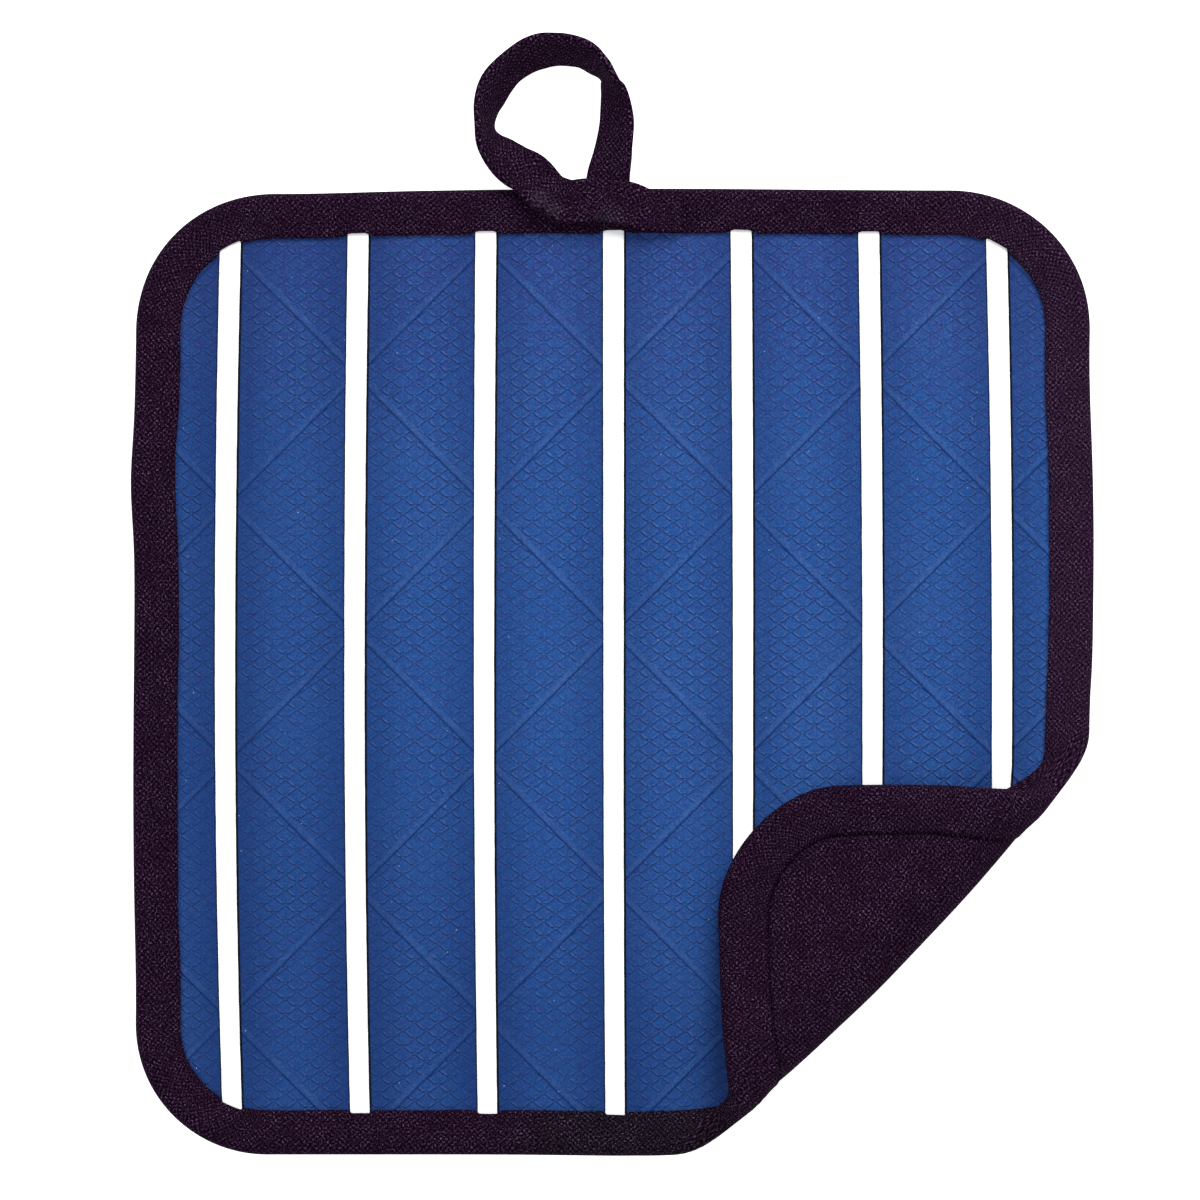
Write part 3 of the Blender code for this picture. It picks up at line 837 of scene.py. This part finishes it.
def foldedRow(row, point, normal):
    # inset and height of one row of the tape, from its edge on the back to its lip on the face
    if row <= binding["backRows"]:
        share = row / binding["backRows"]
        inset = binding["backWidth"] + (binding["noseDepth"] - binding["backWidth"]) * share
        inset += uneven(point, binding["wavySize"], binding["wavyBack"], 3.0) * (1 - share)
        return inset, binding["bottom"] + binding["seamRise"] * smoothStep(1 - 1.5 * share)
    middle = (binding["bottom"] + binding["noseTop"]) / 2
    if row <= binding["backRows"] + binding["noseRows"]:
        angle = math.pi * ((row - binding["backRows"]) / binding["noseRows"] - 0.5)
        depth = binding["noseDepth"] - binding["thickness"] / 2
        inset = binding["noseDepth"] - depth * math.cos(angle)
        return inset, middle + (binding["noseTop"] - middle) * math.sin(angle)
    share = (row - binding["backRows"] - binding["noseRows"]) / binding["frontRows"]
    onStrip = stripNearness(point, normal)
    lipInset = binding["frontWidth"] - binding["drawnBack"] * onStrip
    lipInset += uneven(point, binding["wavySize"], binding["wavy"], 7.0)
    place, added, spread = binding["spread"]
    widened = max(0.0, normal.x) * math.exp(-((point.y - place) / spread) ** 2)
    lipInset += added * widened
    lip = binding["lip"] + binding["overStrip"] * max(onStrip, smoothStep(2 * widened))
    inset = binding["noseDepth"] + (lipInset - binding["noseDepth"]) * share
    height = binding["noseTop"] + (lip - binding["noseTop"]) * smoothStep(share)
    height += uneven(point, binding["wavySize"], binding["puffy"], 11.0) * math.sin(math.pi * share)
    return inset, height


def boundEdge(material):
    stations = edgeStations(binding["step"])
    rows = binding["backRows"] + binding["noseRows"] + binding["frontRows"]
    plainPoint, plainNormal = stations[0]
    section = [foldedRow(row, plainPoint, plainNormal) for row in range(rows + 1)]
    across = [0.0]
    for (firstInset, firstHeight), (inset, height) in zip(section, section[1:]):
        across.append(across[-1] + math.hypot(inset - firstInset, height - firstHeight))
    along = [0.0]
    for (first, _), (second, _) in zip(stations, stations[1:] + stations[:1]):
        along.append(along[-1] + (second - first).length)
    mesh, places = newSheet(len(stations), rows)
    for vert, column, row in places:
        vert.co = (along[column], across[row], 0.0)
    keepPattern(mesh)
    for vert, column, row in places:
        point, normal = stations[column % len(stations)]
        inset, height = foldedRow(row, point, normal)
        vert.co = (*(point - normal * inset), height)
    bmesh.ops.remove_doubles(mesh, verts=mesh.verts, dist=0.001)
    bmesh.ops.recalc_face_normals(mesh, faces=mesh.faces)
    piece = makePiece(mesh, "bound_edge", material, ["binding"], sharp=180.0)
    thicken(piece, binding["thickness"])
    return piece, along[-1], across[-1]


tapeCanvas = cottonCanvas("aubergine cotton tape", isTape=True)
edgePiece, tapeLength, tapeWidth = boundEdge(tapeCanvas)
print("binding", round(tapeLength), "mm of tape", round(tapeWidth, 1), "mm wide")


loop = {
    "tapeWidth": 9.65,
    "layer": 0.66,
    "foldRadius": 0.4,
    "flatRows": 8,
    "foldRows": 6,
    "stepsPerRow": 7,
    "tuck": 0.1,  # how much the sewn end is drawn in, and over what length
    "tuckLength": 14.0,
    "wavy": 0.16,
    # columns: x, y, z, tilt in degrees, which raises the outer edge. It starts on the top
    # binding, turns round clockwise and comes back under its own start.
    "rows": (
        (14.5, 97.5, 6.05, 0.0),
        (10.2, 97.6, 6.4, 0.0),
        (6.6, 97.9, 7.2, 0.0),
        (3.3, 99.1, 7.9, 0.0),
        (-1.4, 100.0, 8.05, 0.0),
        (-5.9, 99.9, 7.95, 0.0),
        (-9.7, 99.7, 7.6, 5.0),
        (-13.6, 101.25, 7.2, 16.0),
        (-17.15, 105.2, 6.8, 7.0),
        (-20.6, 107.1, 6.4, 14.0),
        (-23.6, 109.5, 5.9, 36.0),
        (-26.2, 112.3, 5.4, 58.0),
        (-27.3, 115.4, 5.1, 71.0),
        (-27.0, 119.4, 4.9, 62.0),
        (-25.9, 122.4, 4.6, 51.0),
        (-24.5, 125.1, 4.4, 48.0),
        (-22.1, 127.8, 4.4, 50.0),
        (-18.5, 130.3, 4.4, 46.0),
        (-15.3, 131.5, 4.4, 44.0),
        (-12.5, 131.9, 4.4, 49.0),
        (-9.8, 131.8, 4.4, 52.0),
        (-6.5, 131.0, 4.5, 57.0),
        (-3.9, 129.3, 4.6, 63.0),
        (-2.1, 127.8, 4.9, 72.0),
        (-0.9, 125.9, 5.0, 76.0),
        (-0.4, 124.4, 4.9, 69.0),
        (0.2, 122.7, 4.7, 60.0),
        (0.7, 118.7, 4.5, 49.0),
        (0.7, 115.3, 4.6, 42.0),
        (-0.1, 110.2, 5.1, 37.0),
        (-1.0, 105.6, 6.0, 22.0),
        (-1.4, 101.8, 6.5, 4.0),
        (-1.7, 98.0, 6.5, 0.0),
    ),
}


def smoothRows(rows, steps):
    # rows read from a smooth curve through the given ones
    points = [rows[0]] + list(rows) + [rows[-1]]
    smooth = []
    for before, start, end, after in zip(points, points[1:], points[2:], points[3:]):
        for step in range(steps):
            share = step / steps
            smooth.append([
                b + ((c - a) * share + (2 * a - 5 * b + 4 * c - d) * share ** 2
                     + (3 * b - a - 3 * c + d) * share ** 3) / 2
                for a, b, c, d in zip(before, start, end, after)
            ])
    smooth.append(list(rows[-1]))
    return smooth


def hairpin():
    # the doubled tape in section: inner edge, out to the fold, and back to the inner edge
    inner = -loop["tapeWidth"] / 2 + loop["layer"] / 2
    outer = loop["tapeWidth"] / 2 - loop["layer"] / 2 - loop["foldRadius"]
    flat = [inner + (outer - inner) * index / loop["flatRows"] for index in range(loop["flatRows"])]
    points = [(x, -loop["foldRadius"]) for x in flat]
    for index in range(loop["foldRows"] + 1):
        angle = math.pi * (index / loop["foldRows"] - 0.5)
        points.append((
            outer + loop["foldRadius"] * math.cos(angle), loop["foldRadius"] * math.sin(angle)))
    return points + [(x, loop["foldRadius"]) for x in reversed(flat)]


def hangingLoop(material):
    rows = smoothRows(loop["rows"], loop["stepsPerRow"])
    centres = [Vector(row[:3]) for row in rows]
    section = hairpin()
    along, across = [0.0], [0.0]
    for first, second in zip(centres, centres[1:]):
        along.append(along[-1] + (second - first).length)
    for first, second in zip(section, section[1:]):
        across.append(across[-1] + math.dist(first, second))
    mesh, places = newSheet(len(centres) - 1, len(section) - 1)
    for vert, column, row in places:
        vert.co = (along[column], across[row], 0.0)
    keepPattern(mesh)
    for vert, column, row in places:
        ahead = centres[min(column + 1, len(centres) - 1)] - centres[max(column - 1, 0)]
        tangent = ahead.normalized()
        levelSide = Vector((0.0, 0.0, 1.0)).cross(tangent).normalized()
        upright = tangent.cross(levelSide)
        tilt = math.radians(rows[column][3])
        outward = levelSide * math.cos(tilt) + upright * math.sin(tilt)
        normal = tangent.cross(outward)
        x, z = section[row]
        x *= 1.0 - loop["tuck"] * (1.0 - smoothStep(along[column] / loop["tuckLength"]))
        x += uneven(Vector((along[column], x)), 7.0, loop["wavy"], 2.0)
        z += uneven(Vector((along[column], x)), 6.0, loop["wavy"], 5.0)
        vert.co = centres[column] + outward * x + normal * z
    bmesh.ops.recalc_face_normals(mesh, faces=mesh.faces)
    piece = makePiece(mesh, "loop_tape", material, ["hanging_loop"], sharp=180.0,
                      isTurned=False)
    thicken(piece, loop["layer"])
    return piece, along[-1], across[-1]


loopPiece, loopLength, loopWidth = hangingLoop(tapeCanvas)
print("loop", round(loopLength), "mm of tape", round(loopWidth, 1), "mm wide")


studio = {
    "floorSize": 12.0,  # metres
    "frameWidth": 0.254,
    "distance": 2.2,
    "sensor": 36.0,
    "aim": (-2.858, 15.35, 3.0),  # mm in the drawing
    # columns: name, place, size, power, all in metres and watts
    "lamps": (
        ("key softbox", (0.32, 0.72, 0.85), 0.7, 12.5),
        ("fill softbox", (-0.9, -0.2, 1.4), 1.2, 9.0),
    ),
    "skyStrength": 0.62,
    "floorGlow": 0.75,
}


def whiteFloor():
    mesh = bmesh.new()
    bmesh.ops.create_grid(mesh, x_segments=1, y_segments=1, size=studio["floorSize"] / 2)
    bmesh.ops.translate(mesh, vec=(0.0, 0.0, -0.02 * mm), verts=mesh.verts)
    data = bpy.data.meshes.new("white_floor")
    mesh.to_mesh(data)
    mesh.free()
    # opal acrylic lit a little from below, so that no shadow shows round the cloth
    material, shader = newMaterial(
        "opal acrylic", Roughness=0.9, Base_Color=linear("#F8F8F8"),
        Emission_Color=(1.0, 1.0, 1.0, 1.0), Emission_Strength=studio["floorGlow"])
    data.materials.append(material)
    floor = bpy.data.objects.new("white_floor", data)
    bpy.context.scene.collection.objects.link(floor)


def softLight():
    for name, place, size, power in studio["lamps"]:
        lamp = bpy.data.lights.new(name, "AREA")
        lamp.shape = "DISK"
        lamp.size = size
        lamp.energy = power
        holder = bpy.data.objects.new(name, lamp)
        holder.location = place
        holder.rotation_euler = (-Vector(place)).to_track_quat("-Z", "Y").to_euler()
        bpy.context.scene.collection.objects.link(holder)
    world = bpy.data.worlds.new("pale studio")
    world.use_nodes = True
    sky = world.node_tree.nodes["Background"]
    sky.inputs["Color"].default_value = (1.0, 1.0, 1.0, 1.0)
    sky.inputs["Strength"].default_value = studio["skyStrength"]
    bpy.context.scene.world = world


def overheadCamera():
    data = bpy.data.cameras.new("overhead camera")
    data.sensor_width = studio["sensor"]
    data.lens = studio["sensor"] * studio["distance"] / studio["frameWidth"]
    data.clip_end = 50.0
    camera = bpy.data.objects.new("overhead camera", data)
    camera.location = Vector(studio["aim"]) * mm + drawingMiddle + Vector((0.0, 0.0, studio["distance"]))
    bpy.context.scene.collection.objects.link(camera)
    bpy.context.scene.camera = camera


whiteFloor()
softLight()
overheadCamera()
bpy.context.scene.view_settings.view_transform = "Standard"
print("studio")
